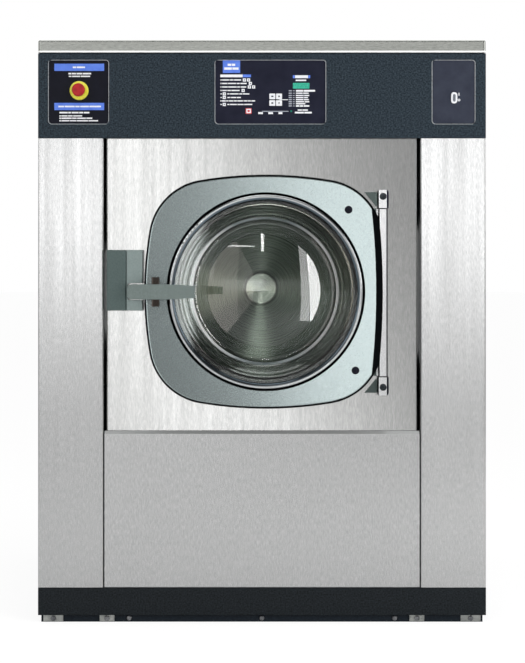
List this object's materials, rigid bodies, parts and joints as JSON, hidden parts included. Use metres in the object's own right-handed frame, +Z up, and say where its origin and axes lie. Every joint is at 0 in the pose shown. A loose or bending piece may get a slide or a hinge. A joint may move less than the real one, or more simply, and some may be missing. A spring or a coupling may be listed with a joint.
{
  "type": "front-loading washer-extractor",
  "caption": "Industrial front-loading washing machine with a sprung tub, round glass door in a bowed square cast frame, dark control fascia and brushed stainless cabinet.",
  "frame": {"origin": "on the floor under the middle of the overall box", "axes": "+X to the right seen from the front, +Y from the door into the machine, +Z up"},
  "size_m": [1.24, 1.415, 1.612],
  "materials": {
    "stainless": "vertical brushed stainless sheet",
    "tub_steel": "plain stainless plate",
    "polished_steel": "polished stainless",
    "fascia_paint": "dark blue-grey fine texture paint",
    "plinth_paint": "dark grey paint",
    "base_paint": "dark blue-grey paint",
    "galvanised": "zinc plated",
    "bolt_steel": "blackened steel",
    "plate_navy": "dark navy printed film",
    "plate_grey": "dark grey film",
    "yellow": "moulded yellow",
    "red": "moulded red",
    "black_plastic": "moulded black",
    "white_plastic": "moulded white",
    "board": "circuit board",
    "display": "lit green display",
    "cast_door": "satin cast aluminium",
    "latch_dark": "dark grey-green paint",
    "glass": "clear borosilicate",
    "rubber": "black rubber",
    "iron": "painted iron casting",
    "spring_steel": "black coated spring steel",
    "pulley_metal": "turned aluminium",
    "brass": "plain brass"
  },
  "bodies": {
    "cabinet": {"base_frame": "base_paint", "plinth_panel": "plinth_paint", "foot_brackets": "galvanised", "foot_bolts": "bolt_steel", "left_side_panel": "stainless", "right_side_panel": "stainless", "top_panel": "stainless", "rear_panel": "stainless", "lower_front_panel": "stainless", "control_fascia": "fascia_paint", "estop_plate": "plate_navy", "control_overlay": "plate_navy", "switch_plate": "plate_grey", "estop_base": "yellow", "control_board": "board", "display_module": "display", "drive_inverter": "black_plastic", "suspension_springs": "spring_steel", "damper_bodies": "base_paint", "drain_valve": "black_plastic", "drain_bellows": "rubber", "drain_outlet": "black_plastic", "inlet_valves": "brass", "cable_gland": "black_plastic"},
    "tub_unit": {"front_plate": "stainless", "outer_tub": "tub_steel", "tub_cradle": "base_paint", "bearing_housing": "iron", "shaft_bearings": "polished_steel", "shaft_seal": "rubber", "drive_belt": "rubber", "motor_body": "iron", "damper_rods": "polished_steel", "door_gasket": "rubber", "hinge_blocks": "polished_steel", "hinge_bolts": "bolt_steel", "latch_housing": "latch_dark", "latch_keeper": "cast_door"},
    "drum": {"drum_shell": "tub_steel", "drum_lifters": "tub_steel", "drum_shaft": "polished_steel", "hub_cap": "polished_steel", "drum_pulley": "pulley_metal"},
    "rotor": {"motor_rotor": "polished_steel", "motor_pulley": "pulley_metal"},
    "door": {"door_frame": "cast_door", "glass_ring": "polished_steel", "door_glass": "glass", "door_bolts": "bolt_steel", "hinge_bar": "polished_steel"},
    "handle": {"door_handle": "cast_door"},
    "lock": {"lock_bolt": "polished_steel"},
    "estop_plunger": {"estop_stem": "black_plastic"},
    "estop_knob": {"estop_head": "red"},
    "stop_button": {"stop_key": "white_plastic"},
    "power_rocker": {"main_switch": "white_plastic"},
    "keypad_1": {"key_1": "white_plastic"},
    "keypad_2": {"key_2": "white_plastic"},
    "keypad_3": {"key_3": "white_plastic"},
    "keypad_4": {"key_4": "white_plastic"}
  },
  "joints": [
    {"name": "tub_bounce", "type": "slide", "parent": "cabinet", "child": "tub_unit", "axis": [0, 0, 1], "range_m": [-0.012, 0.012], "stiffness_N_per_m": 220000, "springref_m": 0.0235, "deforming": ["suspension_springs", "drain_bellows"]},
    {"name": "drum_spin", "type": "hinge", "parent": "tub_unit", "child": "drum", "pos_m": [0.01, -0.2375, 0.916], "axis": [0, 1, 0], "continuous": true},
    {"name": "rotor_spin", "type": "hinge", "parent": "tub_unit", "child": "rotor", "pos_m": [-0.2, 0.2125, 0.275], "axis": [0, 1, 0], "continuous": true},
    {"name": "door_swing", "type": "hinge", "parent": "tub_unit", "child": "door", "pos_m": [0.334, -0.6375, 0.916], "axis": [0, 0, 1], "range_deg": [0, 150]},
    {"name": "handle_pull", "type": "hinge", "parent": "door", "child": "handle", "pos_m": [-0.293, -0.6895, 0.916], "axis": [0, 0, -1], "range_deg": [0, 16], "stiffness_Nm_per_rad": 3},
    {"name": "lock_slide", "type": "slide", "parent": "tub_unit", "child": "lock", "axis": [1, 0, 0], "range_m": [0, 0.016], "stiffness_N_per_m": 200},
    {"name": "estop_push", "type": "slide", "parent": "cabinet", "child": "estop_plunger", "axis": [0, 1, 0], "range_m": [0, 0.006], "stiffness_N_per_m": 1500},
    {"name": "estop_twist", "type": "hinge", "parent": "estop_plunger", "child": "estop_knob", "pos_m": [-0.506, -0.6635, 1.472], "axis": [0, 1, 0], "range_deg": [0, 40], "stiffness_Nm_per_rad": 0.3},
    {"name": "stop_key_press", "type": "slide", "parent": "cabinet", "child": "stop_button", "axis": [0, 1, 0], "range_m": [0, 0.001], "stiffness_N_per_m": 1500},
    {"name": "power_rock", "type": "hinge", "parent": "cabinet", "child": "power_rocker", "pos_m": [0.532, -0.6325, 1.453], "axis": [-1, 0, 0], "range_deg": [0, 14]},
    {"name": "key_1_press", "type": "slide", "parent": "cabinet", "child": "keypad_1", "axis": [0, 1, 0], "range_m": [0, 0.001], "stiffness_N_per_m": 1500},
    {"name": "key_2_press", "type": "slide", "parent": "cabinet", "child": "keypad_2", "axis": [0, 1, 0], "range_m": [0, 0.001], "stiffness_N_per_m": 1500},
    {"name": "key_3_press", "type": "slide", "parent": "cabinet", "child": "keypad_3", "axis": [0, 1, 0], "range_m": [0, 0.001], "stiffness_N_per_m": 1500},
    {"name": "key_4_press", "type": "slide", "parent": "cabinet", "child": "keypad_4", "axis": [0, 1, 0], "range_m": [0, 0.001], "stiffness_N_per_m": 1500}
  ],
  "couplings": [
    {"joint": "rotor_spin", "follows": "drum_spin", "ratio": 5.5833}
  ]
}
